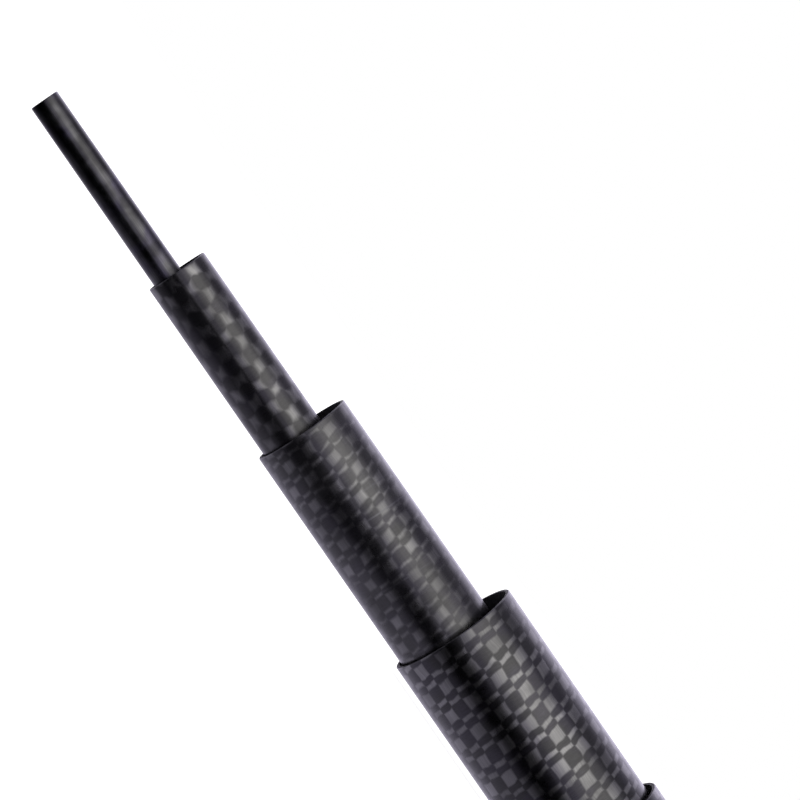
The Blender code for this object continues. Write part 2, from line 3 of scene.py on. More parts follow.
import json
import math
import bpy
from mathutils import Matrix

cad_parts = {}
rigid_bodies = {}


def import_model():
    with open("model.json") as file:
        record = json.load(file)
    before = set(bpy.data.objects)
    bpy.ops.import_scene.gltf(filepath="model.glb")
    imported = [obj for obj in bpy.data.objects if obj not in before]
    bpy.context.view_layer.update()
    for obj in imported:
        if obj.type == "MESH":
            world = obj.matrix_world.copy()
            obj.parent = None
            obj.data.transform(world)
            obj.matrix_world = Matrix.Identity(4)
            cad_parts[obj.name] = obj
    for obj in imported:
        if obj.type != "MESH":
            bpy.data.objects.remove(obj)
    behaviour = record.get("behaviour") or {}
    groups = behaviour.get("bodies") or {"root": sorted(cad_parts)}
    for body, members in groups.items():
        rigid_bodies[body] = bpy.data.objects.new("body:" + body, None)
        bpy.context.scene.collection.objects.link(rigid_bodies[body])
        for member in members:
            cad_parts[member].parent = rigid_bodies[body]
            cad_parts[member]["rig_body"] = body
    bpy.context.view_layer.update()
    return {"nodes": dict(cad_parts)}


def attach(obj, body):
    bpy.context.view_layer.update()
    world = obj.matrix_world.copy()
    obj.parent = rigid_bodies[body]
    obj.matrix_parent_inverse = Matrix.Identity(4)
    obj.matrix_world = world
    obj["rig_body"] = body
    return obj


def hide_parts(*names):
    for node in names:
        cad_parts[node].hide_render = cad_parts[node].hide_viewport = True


bl_info = {
    "name": "Carp Pole",
    "version": (1, 0, 0),
    "blender": (4, 5, 0),
    "location": "3D View > Sidebar > Carp Pole",
    "description": "Dresses a telescopic carbon pole with its sections, grip, cap and lanyard ring",
    "category": "Object",
}

import bpy
from bpy.props import FloatProperty, FloatVectorProperty, IntProperty, PointerProperty
from mathutils import Matrix, Vector

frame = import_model()

MM = 0.001
SAME_RING = 0.05 * MM


# Shaping


class Axis:
    """The line that a turned node is turned about, read from the rings at its two ends."""

    def __init__(self, node):
        places = {tuple(round(c, 6) for c in v.co) for v in bpy.data.objects[node].data.vertices}
        low = min(p[0] for p in places)
        high = max(p[0] for p in places)
        reach = 0.4 * MM
        ends = []
        for near in (low, high):
            ring = [Vector(p) for p in places if abs(p[0] - near) < reach]
            ends.append(sum(ring, Vector()) / len(ring))
        self.along = (ends[1] - ends[0]).normalized()
        self.tilt = math.atan2(self.along.z, self.along.x)
        self.mouth = ends[0]
        shift = min((Vector(p) - self.mouth).dot(self.along) for p in places)
        self.mouth = self.mouth + shift * self.along
        self.length = max((Vector(p) - self.mouth).dot(self.along) for p in places)
        self.up = Vector((-math.sin(self.tilt), 0.0, math.cos(self.tilt)))

    def at(self, station):
        return self.mouth + station * self.along

    def rotation(self):
        """Stands a circle's normal along the axis."""
        return (0.0, math.pi / 2 - self.tilt, 0.0)

    def measure(self, place):
        """Station, radius and turn of a place; the turn is 0 at the top and grows towards +Y."""
        offset = Vector(place) - self.mouth
        station = offset.dot(self.along)
        height = offset.dot(self.up)
        return station, math.hypot(offset.y, height), math.atan2(offset.y, height) / (2 * math.pi)

    def ends(self, node):
        """Stations at which a node begins and ends, to a hundredth of a millimetre."""
        stations = [self.measure(vertex.co)[0] for vertex in bpy.data.objects[node].data.vertices]
        return round(min(stations), 5), round(max(stations), 5)


def profile(node, axis):
    """Stations and radii of a tube's rings: its outer side to the rear, then its bore to the mouth."""
    rings = set()
    for vertex in bpy.data.objects[node].data.vertices:
        station, radius, share = axis.measure(vertex.co)
        rings.add((round(station, 6), round(radius, 6)))
    merged = []
    for station, radius in sorted(rings):
        if not any(abs(station - s) < SAME_RING and abs(radius - r) < SAME_RING for s, r in merged):
            merged.append((station, radius))
    middle_front = sum(r for s, r in merged if s < SAME_RING) / 2
    middle_rear = sum(r for s, r in merged if s > axis.length - SAME_RING) / 2
    outer = []
    bore = []
    for station, radius in merged:
        share = station / axis.length
        middle = middle_front + (middle_rear - middle_front) * share
        (outer if radius > middle else bore).append((station, radius))
    return outer + bore[::-1]


def mm(*pairs, base=0.0):
    """An outline from stations and radii in millimetres, its stations counted from a base."""
    return [(base + station * MM, radius * MM) for station, radius in pairs]


def start(name, place, radius, axis, sides):
    """Adds a circle that stands across an axis, in edit mode and selected."""
    bpy.ops.mesh.primitive_circle_add(
        vertices=sides, radius=radius, location=place, rotation=axis.rotation(), calc_uvs=False
    )
    piece = bpy.context.object
    piece.name = name
    piece.data.name = name
    bpy.ops.object.mode_set(mode="EDIT")
    bpy.ops.mesh.select_all(action="SELECT")
    return piece


def extrude_to(axis, here, there):
    """Extrudes the selected ring from one station and radius to the next."""
    step = axis.along * (there[0] - here[0])
    bpy.ops.mesh.extrude_edges_move(TRANSFORM_OT_translate={"value": step})
    scale = there[1] / here[1]
    bpy.ops.transform.resize(value=(scale, scale, scale), center_override=axis.at(there[0]))


def turn(name, axis, outline, sides, closed=True):
    """Turns an outline into a body: ring after ring, and closed on itself or capped at both ends."""
    piece = start(name, axis.at(outline[0][0]), outline[0][1], axis, sides)
    if not closed:
        bpy.ops.mesh.edge_face_add()
    for here, there in zip(outline, outline[1:]):
        extrude_to(axis, here, there)
    if closed:
        bpy.ops.mesh.select_all(action="DESELECT")
        bpy.ops.mesh.select_non_manifold()
        bpy.ops.mesh.bridge_edge_loops()
    else:
        bpy.ops.mesh.edge_face_add()
    return piece


def settle(piece, angle=30.0):
    """Leaves edit mode with the faces outwards, smooth but for the sharp edges, and the place in the mesh."""
    if bpy.context.mode != "EDIT_MESH":
        bpy.ops.object.mode_set(mode="EDIT")
    bpy.ops.mesh.select_all(action="SELECT")
    bpy.ops.mesh.remove_doubles(threshold=1e-6)
    bpy.ops.mesh.normals_make_consistent(inside=False)
    bpy.ops.object.mode_set(mode="OBJECT")
    bpy.ops.object.shade_smooth_by_angle(angle=math.radians(angle))
    bpy.ops.object.transform_apply(location=True, rotation=True, scale=True)


def lathe(node, axis, sides, *pairs, making="turned", angle=30.0):
    """Turns a node's finer piece; its outline is in millimetres, from the station where the node begins."""
    front, rear = axis.ends(node)
    piece = turn(f"{node}_{making}", axis, mm(*pairs, base=front), sides)
    settle(piece, angle)
    return piece


def bevel(piece, width, segments, angle):
    """Rounds the edges that are sharper than the angle."""
    modifier = piece.modifiers.new("round", "BEVEL")
    modifier.width = width
    modifier.segments = segments
    modifier.limit_method = "ANGLE"
    modifier.angle_limit = math.radians(angle)
    bpy.ops.object.modifier_apply(modifier=modifier.name)


def thread(name, axis, pitch, root, crest, first, turns):
    """A helical ridge from root to crest that starts at a station, its ends closed."""
    foot_share, tip_share = 0.86, 0.28
    bpy.ops.mesh.primitive_plane_add(size=1.0, rotation=(math.pi / 2, 0.0, 0.0))
    ridge = bpy.context.object
    ridge.name = name
    bpy.ops.object.transform_apply(location=False, rotation=True, scale=False)
    bpy.ops.object.mode_set(mode="EDIT")
    bpy.ops.mesh.select_all(action="SELECT")
    bpy.ops.transform.resize(value=(abs(crest - root), 1.0, foot_share * pitch))
    bpy.ops.transform.translate(value=((crest + root) / 2, 0.0, 0.0))
    bpy.ops.mesh.select_all(action="DESELECT")
    bpy.ops.object.mode_set(mode="OBJECT")
    for vertex in ridge.data.vertices:
        vertex.select = abs(vertex.co.x - crest) < 1e-6
    bpy.ops.object.mode_set(mode="EDIT")
    bpy.ops.mesh.select_mode(type="VERT")
    bpy.ops.transform.resize(value=(1.0, 1.0, tip_share), center_override=(crest, 0.0, 0.0))
    bpy.ops.mesh.select_all(action="SELECT")
    bpy.ops.mesh.delete(type="ONLY_FACE")
    bpy.ops.object.mode_set(mode="OBJECT")
    screw = ridge.modifiers.new("helix", "SCREW")
    screw.axis = "Z"
    screw.angle = 2 * math.pi
    screw.screw_offset = pitch
    screw.iterations = turns
    screw.steps = screw.render_steps = 64
    bpy.ops.object.modifier_apply(modifier=screw.name)
    bpy.ops.object.mode_set(mode="EDIT")
    bpy.ops.mesh.select_all(action="SELECT")
    bpy.ops.mesh.fill_holes(sides=0)
    settle(ridge, 25.0)
    ridge.location = axis.at(first)
    ridge.rotation_euler = axis.rotation()
    bpy.ops.object.transform_apply(location=True, rotation=True, scale=True)
    return ridge


def pick(*pieces):
    """Selects pieces and nothing else, the first of them active."""
    bpy.ops.object.select_all(action="DESELECT")
    for piece in pieces:
        piece.select_set(True)
    bpy.context.view_layer.objects.active = pieces[0]


def join(piece, other):
    """Joins the other piece into the first."""
    pick(piece, other)
    bpy.ops.object.join()


def cut(piece, cutters):
    """Takes the cutters' shapes out of a piece and removes them."""
    pick(piece)
    for cutter in cutters:
        boolean = piece.modifiers.new("cut", "BOOLEAN")
        boolean.operation = "DIFFERENCE"
        boolean.solver = "EXACT"
        boolean.object = cutter
        bpy.ops.object.modifier_apply(modifier=boolean.name)
        bpy.data.objects.remove(cutter)


def rods(axis, station, radius, length, places, sides, across=False):
    """Cutters for round holes: the first is modelled, the rest are copies with their own mesh."""
    made = []
    for side, height in places:
        if made:
            rod = made[0].copy()
            rod.data = made[0].data.copy()
            bpy.context.collection.objects.link(rod)
        else:
            bpy.ops.mesh.primitive_cylinder_add(vertices=sides, radius=radius, depth=length)
            rod = bpy.context.object
        rod.location = axis.at(station) + Vector((0.0, side, 0.0)) + height * axis.up
        rod.rotation_euler = (math.pi / 2, 0.0, 0.0) if across else axis.rotation()
        made.append(rod)
    bpy.context.view_layer.update()
    return made


def ring_places(count, radius):
    """Places spread evenly round an axis, the first at the top."""
    turns = [2 * math.pi * i / count for i in range(count)]
    return [(radius * math.sin(a), radius * math.cos(a)) for a in turns]


def wrap_uv(piece, axis, name):
    """Lays a UV map round a tube: whole turns across, metres along."""
    mesh = piece.data
    layer = mesh.uv_layers.new(name=name)
    turns = [axis.measure(vertex.co) for vertex in mesh.vertices]
    for polygon in mesh.polygons:
        values = [turns[mesh.loops[i].vertex_index] for i in polygon.loop_indices]
        furthest = max(value[2] for value in values)
        for i, (station, radius, share) in zip(polygon.loop_indices, values):
            if furthest - share > 0.5:
                share += 1.0
            layer.data[i].uv = (share + 0.5, station)


def dress(piece, node, material):
    """Puts a piece in a node's place: on its body and with its material."""
    solid = frame["nodes"][node]
    piece.data.materials.clear()
    piece.data.materials.append(material)
    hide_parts(node)
    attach(piece, solid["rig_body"])


# Materials


class Board:
    """The node tree of a material or of the world, with short ways to add to it."""

    def __init__(self, name, kind="materials", shader="Principled BSDF"):
        self.owner = getattr(bpy.data, kind).new(name)
        self.owner.use_nodes = True
        self.tree = self.owner.node_tree
        self.shader = self.tree.nodes[shader]

    def node(self, kind, **values):
        node = self.tree.nodes.new(kind)
        for key, value in values.items():
            setattr(node, key, value)
        return node

    def feed(self, socket, value):
        if isinstance(value, bpy.types.NodeSocket):
            self.tree.links.new(value, socket)
        else:
            socket.default_value = value

    def fill(self, node, inputs):
        for name, value in inputs.items():
            self.feed(node.inputs[name], value)

    def set(self, name, value):
        self.feed(self.shader.inputs[name], value)

    def math(self, operation, *values):
        node = self.node("ShaderNodeMath", operation=operation)
        for socket, value in zip(node.inputs, values):
            self.feed(socket, value)
        return node.outputs[0]

    def fold(self, operation, first, *others):
        """One operation on value after value."""
        for other in others:
            first = self.math(operation, first, other)
        return first

    def plus(self, *values):
        return self.fold("ADD", *values)

    def times(self, *values):
        return self.fold("MULTIPLY", *values)

    def minus(self, first, second):
        return self.math("SUBTRACT", first, second)

    def ramp(self, value, low, high, out_low=0.0, out_high=1.0, smooth=True):
        node = self.node("ShaderNodeMapRange", interpolation_type="SMOOTHSTEP" if smooth else "LINEAR")
        limits = {"From Min": low, "From Max": high, "To Min": out_low, "To Max": out_high}
        self.fill(node, {"Value": value, **limits})
        return node.outputs[0]

    def mix(self, factor, first, second, blend="MIX"):
        node = self.node("ShaderNodeMix", data_type="RGBA", blend_type=blend)
        self.feed(node.inputs[0], factor)
        for socket, value in ((node.inputs[6], first), (node.inputs[7], second)):
            self.feed(socket, (*value, 1.0) if isinstance(value, tuple) and len(value) == 3 else value)
        return node.outputs[2]

    def toned(self, colour, tone):
        """A colour made lighter or darker by a number."""
        return self.mix(1.0, colour, self.combine(tone, tone, tone), "MULTIPLY")

    def combine(self, x, y, z=0.0):
        node = self.node("ShaderNodeCombineXYZ")
        for socket, value in zip(node.inputs, (x, y, z)):
            self.feed(socket, value)
        return node.outputs[0]

    def split(self, vector):
        node = self.node("ShaderNodeSeparateXYZ")
        self.feed(node.inputs[0], vector)
        return tuple(node.outputs)

    def places(self):
        return self.node("ShaderNodeTexCoord").outputs["Object"]

    def noise(self, vector, scale, detail=2.0, roughness=0.5):
        node = self.node("ShaderNodeTexNoise")
        self.fill(node, {"Vector": vector, "Scale": scale, "Detail": detail, "Roughness": roughness})
        return node.outputs["Fac"]

    def drift(self, vector, scale=1.0):
        """A slow swing to either side of 0."""
        return self.minus(self.noise(vector, scale, 1.0), 0.5)

    def mottle(self, scale, low, high, detail=3.0):
        """Blotches between two values, by place."""
        return self.ramp(self.noise(self.places(), scale, detail), 0.3, 0.7, low, high)

    def stretched(self, across, across_scale, along, along_scale, z=0.0):
        """A vector that draws a pattern out more one way than the other."""
        return self.combine(self.times(across, across_scale), self.times(along, along_scale), z)

    def wrapped(self):
        """Turn and station on a tube, from the UV map round it."""
        return self.split(self.node("ShaderNodeUVMap", uv_map="cloth").outputs["UV"])[:2]

    def round_axis(self, axis):
        """Station, radius and turn about an axis, from the object's own coordinates."""
        mapping = self.node("ShaderNodeMapping", vector_type="TEXTURE")
        tilt = (0.0, -axis.tilt, 0.0)
        self.fill(mapping, {"Vector": self.places(), "Location": axis.mouth, "Rotation": tilt})
        station, side, height = self.split(mapping.outputs[0])
        radius = self.math("SQRT", self.plus(self.times(side, side), self.times(height, height)))
        return station, radius, self.math("DIVIDE", self.math("ARCTAN2", side, height), 2 * math.pi)

    def rays(self):
        """1 for a ray from a mirror or through glass, and 1 for those and the camera's."""
        ray = self.node("ShaderNodeLightPath").outputs
        mirrored = self.math("MAXIMUM", ray["Is Glossy Ray"], ray["Is Transmission Ray"])
        return mirrored, self.math("MAXIMUM", ray["Is Camera Ray"], mirrored)

    def bump(self, height, distance, strength):
        node = self.node("ShaderNodeBump")
        self.fill(node, {"Height": height, "Distance": distance, "Strength": strength})
        return node.outputs["Normal"]

    def lacquer(self, weight, roughness, ripple):
        """A rippled clear coat."""
        self.set("Coat Weight", weight)
        self.set("Coat Roughness", roughness)
        self.set("Coat Normal", self.bump(self.noise(self.places(), ripple, 2.0), 0.02 * MM, 0.5))


class Cloth:
    """A plain weave round a tube: columns of tows along it, and a wide and two thin hoops to each period."""

    def __init__(self, b, columns, phase, period, shift, wide, wander, fray, lean=2.0):
        self.b = b
        self.period = period
        self.edges = (wide, wide + (1.0 - wide) / 2, 1.0)
        self.turns, self.station = b.wrapped()
        self.sway = b.drift(b.stretched(self.turns, 6.0, self.station, 110.0))
        slip = b.drift(b.stretched(self.turns, 9.0, self.station, 160.0, 7.0))
        loose = b.times(b.ramp(self.station, 0.0, 7.0 * MM, 1.6, 1.0), fray)
        rags = [b.times(b.drift(b.places(), scale), loose) for scale in (520.0, 610.0)]

        self.column = b.plus(b.times(self.turns, columns), b.times(self.sway, 1.1 * wander), rags[0], phase)
        self.column_number = b.math("FLOOR", self.column)
        self.column_share = b.minus(self.column, self.column_number)
        row = b.plus(b.times(self.station, 1.0 / period), b.times(slip, 0.35 * wander))
        row = b.plus(row, b.times(self.turns, lean), rags[1], shift)
        self.row_number = b.math("FLOOR", row)
        self.row_share = b.minus(row, self.row_number)
        for edge in self.edges[:2]:
            self.row_number = b.plus(self.row_number, b.math("GREATER_THAN", self.row_share, edge))
        self.odd = b.math("FLOORED_MODULO", b.plus(self.row_number, self.column_number), 2.0)

    def inward(self, tow_width):
        """How far a place lies inside its cell, in metres: above 0 where a tow along the tube is on top."""
        b = self.b
        nearest = b.math("MINIMUM", self.column_share, b.minus(1.0, self.column_share))
        gaps = [b.math("ABSOLUTE", b.minus(self.row_share, edge)) for edge in self.edges]
        gap = b.fold("MINIMUM", self.row_share, *gaps)
        rim = b.math("MINIMUM", b.times(nearest, tow_width), b.times(gap, self.period))
        return b.times(rim, b.math("MULTIPLY_ADD", self.odd, 2.0, -1.0))

    def bright(self, colour):
        """Tows along the tube: each cell with a tone of its own, in patches, and streaked by its fibres."""
        b = self.b
        cell = b.node("ShaderNodeTexWhiteNoise", noise_dimensions="2D")
        b.feed(cell.inputs["Vector"], b.combine(self.column_number, self.row_number))
        tone = b.math("MULTIPLY_ADD", cell.outputs["Value"], 0.60, 0.66)
        fibres = b.noise(b.stretched(self.column, 14.0, self.station, 160.0), 1.0, 2.0, 0.7)
        streaks = b.ramp(fibres, 0.25, 0.75, 0.78, 1.15)
        return b.toned(colour, b.times(tone, b.mottle(140.0, 0.62, 1.22, 2.0), streaks))

    def dark(self, colour, resin):
        """Hoop tows: streaked across, and tinted where the resin lies thicker."""
        b = self.b
        tint = b.ramp(b.noise(b.places(), 210.0, 2.0), 0.42, 0.62)
        fibres = b.noise(b.stretched(self.column, 1.3, self.station, 9000.0, 3.0), 1.0, 2.0, 0.7)
        return b.toned(b.mix(tint, colour, resin), b.ramp(fibres, 0.25, 0.75, 0.6, 1.3))

    def wrap_line(self, colour, place):
        """A thin pale line that the wrapping tape left round the tube, broken here and there."""
        b = self.b
        across = b.minus(b.plus(b.times(self.turns, -2.0 * MM), self.station), place * MM)
        light = b.ramp(b.math("ABSOLUTE", across), 0.03 * MM, 0.20 * MM, 0.65, 0.0)
        return b.mix(b.times(light, b.ramp(self.sway, -0.15, 0.15)), colour, (0.07, 0.07, 0.075))


def woven_carbon(name, settings, blur, fade, stretch=1.0, wide=None, wraps=(), **lay):
    """Plain-weave carbon cloth under clear lacquer, with wrap lines at some stations in millimetres."""
    b = Board(name)
    cloth = Cloth(b, period=stretch * settings.weave_period, wide=wide or settings.wide_share, **lay)
    inward = cloth.inward(settings.tow_width)
    axial = b.ramp(inward, -0.3 * blur * MM, 1.5 * blur * MM, 0.45 * fade, 1.0 - 0.55 * fade)
    dark = cloth.dark(tuple(settings.hoop_colour), tuple(settings.resin_colour))
    colour = b.mix(axial, dark, cloth.bright(tuple(settings.axial_colour)))
    for place in wraps:
        colour = cloth.wrap_line(colour, place)
    b.set("Base Color", colour)
    b.set("Metallic", 1.0)
    b.set("Roughness", b.mottle(900.0, 0.27, 0.34))
    crown = b.times(b.math("SINE", b.times(cloth.column_share, math.pi)), cloth.odd)
    b.set("Normal", b.bump(crown, 0.03 * MM, 0.6))
    b.lacquer(0.45, 0.18, 160.0)
    return b.owner


def plain_carbon(name, settings):
    """Unwoven carbon under black lacquer, with its fibres just showing along the tube."""
    b = Board(name)
    turns, station = b.wrapped()
    fibre = b.noise(b.stretched(turns, 120.0, station, 60.0), 1.0, 3.0, 0.6)
    blot = b.noise(b.places(), 330.0, 2.0, 0.6)
    shade = b.times(b.ramp(fibre, 0.25, 0.75, 0.6, 1.4), b.ramp(blot, 0.32, 0.68, 0.35, 1.7))
    tint = b.ramp(b.noise(b.places(), 250.0, 1.0), 0.45, 0.6)
    b.set("Base Color", b.toned(b.mix(tint, tuple(settings.plain_colour), (0.026, 0.024, 0.036)), shade))
    b.set("Metallic", 1.0)
    b.set("Roughness", b.mottle(700.0, 0.30, 0.40))
    b.lacquer(0.6, 0.22, 220.0)
    return b.owner


def raw_carbon():
    """The bare wall of a tube: its bore and its cut ends."""
    b = Board("raw_carbon")
    fibre = b.mottle(1500.0, 0.5, 1.5)
    b.set("Base Color", b.toned((0.007, 0.007, 0.008), fibre))
    b.set("Roughness", b.ramp(fibre, 0.5, 1.5, 0.50, 0.72))
    b.set("Specular IOR Level", 0.3)
    b.set("Normal", b.bump(fibre, 0.02 * MM, 0.4))
    return b.owner


def ground_carbon(name, axis):
    """The solid tip: ground carbon under a clear coat, its grain along the rod."""
    b = Board(name)
    station, radius, turns = b.round_axis(axis)
    grain = b.noise(b.stretched(turns, 60.0, station, 90.0), 1.0, 3.0)
    b.set("Base Color", b.toned((0.02, 0.02, 0.022), b.ramp(grain, 0.3, 0.7, 0.6, 1.5)))
    b.set("Roughness", b.ramp(grain, 0.3, 0.7, 0.28, 0.40))
    b.set("Coat Weight", 0.8)
    b.set("Coat Roughness", 0.1)
    b.set("Normal", b.bump(grain, 0.01 * MM, 0.4))
    return b.owner


def metal(name, colour, roughness, axis, lines, worn=None):
    """Turned metal: fine rings from the lathe, patches that hands dulled, and worn edges if it's anodised."""
    b = Board(name)
    station, radius, turns = b.round_axis(axis)
    lathe_marks = b.noise(b.stretched(station, 9000.0, radius, 9000.0), 1.0, 2.0, 0.6)
    patch = b.noise(b.places(), 420.0, 3.0, 0.6)
    scratch = b.noise(b.stretched(station, 5200.0, turns, 26.0), 1.0, 3.0)
    rings = b.ramp(lathe_marks, 0.2, 0.8, 1.0 - lines, 1.0 + lines)
    base = b.toned(colour, b.times(rings, b.ramp(patch, 0.3, 0.7, 0.86, 1.08)))
    if worn:
        sharp = b.node("ShaderNodeNewGeometry").outputs["Pointiness"]
        rub = b.times(b.ramp(sharp, 0.58, 0.70), b.ramp(patch, 0.42, 0.62))
        base = b.mix(rub, base, worn)
    b.set("Base Color", base)
    b.set("Metallic", 1.0)
    dulled = b.ramp(patch, 0.3, 0.7, roughness, roughness + 0.10)
    b.set("Roughness", b.plus(dulled, b.ramp(scratch, 0.55, 0.8, 0.0, 0.08)))
    b.set("Normal", b.bump(lathe_marks, 0.006 * MM, 0.5))
    return b.owner


def soft(name, colour, roughness, grain, depth, sheen=0.0, valley=None):
    """Rubber, foam or nylon: a mottled matte skin with a fine grain, and painted shade in the valleys where a
    valley attribute marks them.
    """
    b = Board(name)
    pores = b.node("ShaderNodeTexVoronoi")
    b.fill(pores, {"Vector": b.places(), "Scale": grain})
    pore = pores.outputs["Distance"]
    patch = b.noise(b.places(), 260.0, 3.0, 0.6)
    fine = b.noise(b.places(), grain * 1.7, 2.0)
    base = b.toned(colour, b.times(b.ramp(pore, 0.0, 0.6, 0.78, 1.12), b.ramp(patch, 0.3, 0.7, 0.85, 1.25)))
    gloss = b.ramp(fine, 0.3, 0.7, roughness - 0.06, roughness + 0.06)
    if valley:
        shaded_valleys = b.node("ShaderNodeAttribute", attribute_name=valley).outputs["Fac"]
        # painted shade: the pressed-in valleys are coloured darker than the ribs and plain bands, standing in
        # for the shade that falls in them
        base = b.toned(base, b.ramp(shaded_valleys, 0.0, 1.0, 1.7, 0.7))
        gloss = b.math("MULTIPLY_ADD", shaded_valleys, 0.14, b.minus(gloss, 0.10))
    b.set("Base Color", base)
    b.set("Roughness", gloss)
    b.set("Sheen Weight", sheen)
    b.set("Normal", b.bump(b.plus(pore, b.times(fine, 0.5)), depth, 0.6))
    return b.owner


def pale_floor(colour, surround):
    """A matte floor that camera, mirror and glass see a little brighter, so that it ends as white."""
    b = Board("pale_floor")
    b.set("Roughness", 0.9)
    b.set("Specular IOR Level", 0.1)
    b.set("Base Color", b.mix(b.noise(b.places(), 3.0, 2.0), colour, tuple(c * 0.99 for c in colour)))
    mirrored, seen = b.rays()
    along, side, height = b.split(b.places())
    beyond_ends = b.minus(b.math("ABSOLUTE", along), 0.6)
    distance = b.math("MAXIMUM", b.math("ABSOLUTE", side), beyond_ends)
    b.set("Emission Color", b.mix(mirrored, (1.0, 1.0, 1.0), surround))
    b.set("Emission Strength", b.times(seen, b.ramp(distance, 0.15, 0.9, 0.84, 1.0)))
    return b.owner


def reflection_glow(b, surround, brightness):
    """A black card that glows in the room's colour, for cards seen only in reflections: a painted reflection,
    dark or pale by its brightness.
    """
    b.set("Base Color", (0.0, 0.0, 0.0, 1.0))
    b.set("Emission Color", (*surround, 1.0))
    b.set("Emission Strength", brightness)
    b.set("Roughness", 0.9)
    b.set("Specular IOR Level", 0.0)
    return b.owner


def graded_paper(surround):
    """A black card, seen only in reflections, that glows paler towards the pole and has a faint glowing strip
    beside the two middle sections: a painted reflection.
    """
    b = Board("graded_paper")
    along, side, height = b.split(b.places())
    edge = b.ramp(along, -0.635, -0.545, 0.5 * MM, -15.0 * MM, smooth=False)
    inward = b.minus(side, edge)
    # painted reflection: dark away from the pole and glowing paler close to it, standing in for the floor and
    # the pole's shadow on it as the pole's underside would mirror them
    pale = b.times(b.ramp(inward, -4.0 * MM, 7.0 * MM), b.ramp(inward, 7.0 * MM, 35.0 * MM, 0.75, 1.0))
    # painted reflection: a faint glowing strip beside the two middle sections that lifts their dark band
    glow = b.times(b.ramp(along, -0.609, -0.604), b.ramp(along, -0.556, -0.550, 0.09, 0.0))
    return reflection_glow(b, surround, b.math("MAXIMUM", pale, glow))


# Settings


class StageSettings(bpy.types.PropertyGroup):
    place: FloatVectorProperty(
        name="Camera Place", description="Where the camera stands", subtype="XYZ", unit="LENGTH",
        default=(-0.63126, -0.57049, 0.02076),
    )
    yaw: FloatProperty(
        name="Yaw", description="How far the camera looks towards the butt", subtype="ANGLE",
        default=math.radians(5.4),
    )
    roll: FloatProperty(
        name="Roll", description="How far the camera is rolled about its own axis", subtype="ANGLE",
        default=math.radians(55.53),
    )
    lens: FloatProperty(name="Lens", description="Focal length of the camera", default=200.0, unit="CAMERA")
    key_light: FloatProperty(
        name="Key Light", description="Brightness of the wide softbox, where 1 is white", default=0.80, min=0
    )
    core_light: FloatProperty(
        name="Core Light", description="Brightness that the narrow softbox adds", default=0.95, min=0
    )
    rim_light: FloatProperty(
        name="Rim Light", description="Brightness of the softbox behind the pole", default=0.55, min=0
    )
    daylight: FloatProperty(
        name="Daylight", description="Strength of the light from all round", default=0.52, min=0
    )
    surround: FloatVectorProperty(
        name="Surround", description="Colour of the studio in mirrors and glass", subtype="COLOR",
        default=(0.85, 0.80, 1.00), min=0, max=1,
    )
    floor_colour: FloatVectorProperty(
        name="Floor", description="Colour of the floor", subtype="COLOR",
        default=(0.62, 0.62, 0.62), min=0, max=1,
    )


class SectionSettings(bpy.types.PropertyGroup):
    tow_width: FloatProperty(
        name="Tow Width", description="Width of the tows along the pole", unit="LENGTH", default=2.0 * MM,
    )
    weave_period: FloatProperty(
        name="Weave Period", description="One wide and two thin hoops", unit="LENGTH", default=3.55 * MM,
    )
    wide_share: FloatProperty(
        name="Wide Share", description="Share of the period that the wide hoop tow takes", subtype="FACTOR",
        default=0.54, min=0.34, max=0.9,
    )
    axial_colour: FloatVectorProperty(
        name="Axial Tows", description="Shine of the tows along the pole", subtype="COLOR",
        default=(0.122, 0.122, 0.120), min=0, max=1,
    )
    hoop_colour: FloatVectorProperty(
        name="Dark Tows", description="Colour of the tows that run round the tube", subtype="COLOR",
        default=(0.0160, 0.0158, 0.0162), min=0, max=1,
    )
    resin_colour: FloatVectorProperty(
        name="Resin", description="Tint of the resin where it lies thicker on the dark tows", subtype="COLOR",
        default=(0.0180, 0.0168, 0.0215), min=0, max=1,
    )
    plain_colour: FloatVectorProperty(
        name="Plain Carbon", description="Colour of the unwoven sections", subtype="COLOR",
        default=(0.031, 0.031, 0.033), min=0, max=1,
    )
    sides: IntProperty(name="Sides", description="Sides of the tubes", default=128, min=24, max=256)


class GripSettings(bpy.types.PropertyGroup):
    colour: FloatVectorProperty(
        name="Rubber", description="Colour of the grip", subtype="COLOR",
        default=(0.017, 0.017, 0.0175), min=0, max=1,
    )
    rib_pitch: FloatProperty(
        name="Rib Pitch", description="Length of one diamond of the grip", unit="LENGTH", default=8.0 * MM
    )
    rib_height: FloatProperty(
        name="Rib Height", description="How far the ribs stand out", unit="LENGTH", default=0.38 * MM,
    )
    bare_length: FloatProperty(
        name="Plain Ends", description="Length of the band at either end", unit="LENGTH", default=14 * MM,
    )


class CapSettings(bpy.types.PropertyGroup):
    colour: FloatVectorProperty(
        name="Anodised", description="Colour of the cap", subtype="COLOR",
        default=(0.055, 0.055, 0.057), min=0, max=1,
    )
    pitch: FloatProperty(
        name="Thread Pitch", description="Travel of the cap in one turn", unit="LENGTH", default=1.5 * MM
    )
    flutes: IntProperty(name="Flutes", description="Flutes round the cap's head", default=12, min=4, max=48)
    flute_width: FloatProperty(
        name="Flute Width", description="Width of a flute", unit="LENGTH", default=5.0 * MM
    )
    flute_depth: FloatProperty(
        name="Flute Depth", description="Depth of a flute", unit="LENGTH", default=0.6 * MM
    )


class RingSettings(bpy.types.PropertyGroup):
    wire: FloatProperty(
        name="Wire", description="Radius of the ring's wire", unit="LENGTH", default=1.09 * MM
    )
    half_width: FloatProperty(
        name="Half Width", description="Half of the ring's width to the wire's middle", unit="LENGTH",
        default=6.5 * MM,
    )
    corner: FloatProperty(
        name="Corner", description="Radius of the ring's corners", unit="LENGTH", default=2.4 * MM
    )
    reach: FloatProperty(
        name="Reach", description="From the bar to the far side of the bow", unit="LENGTH", default=11.9 * MM,
    )


# Stage


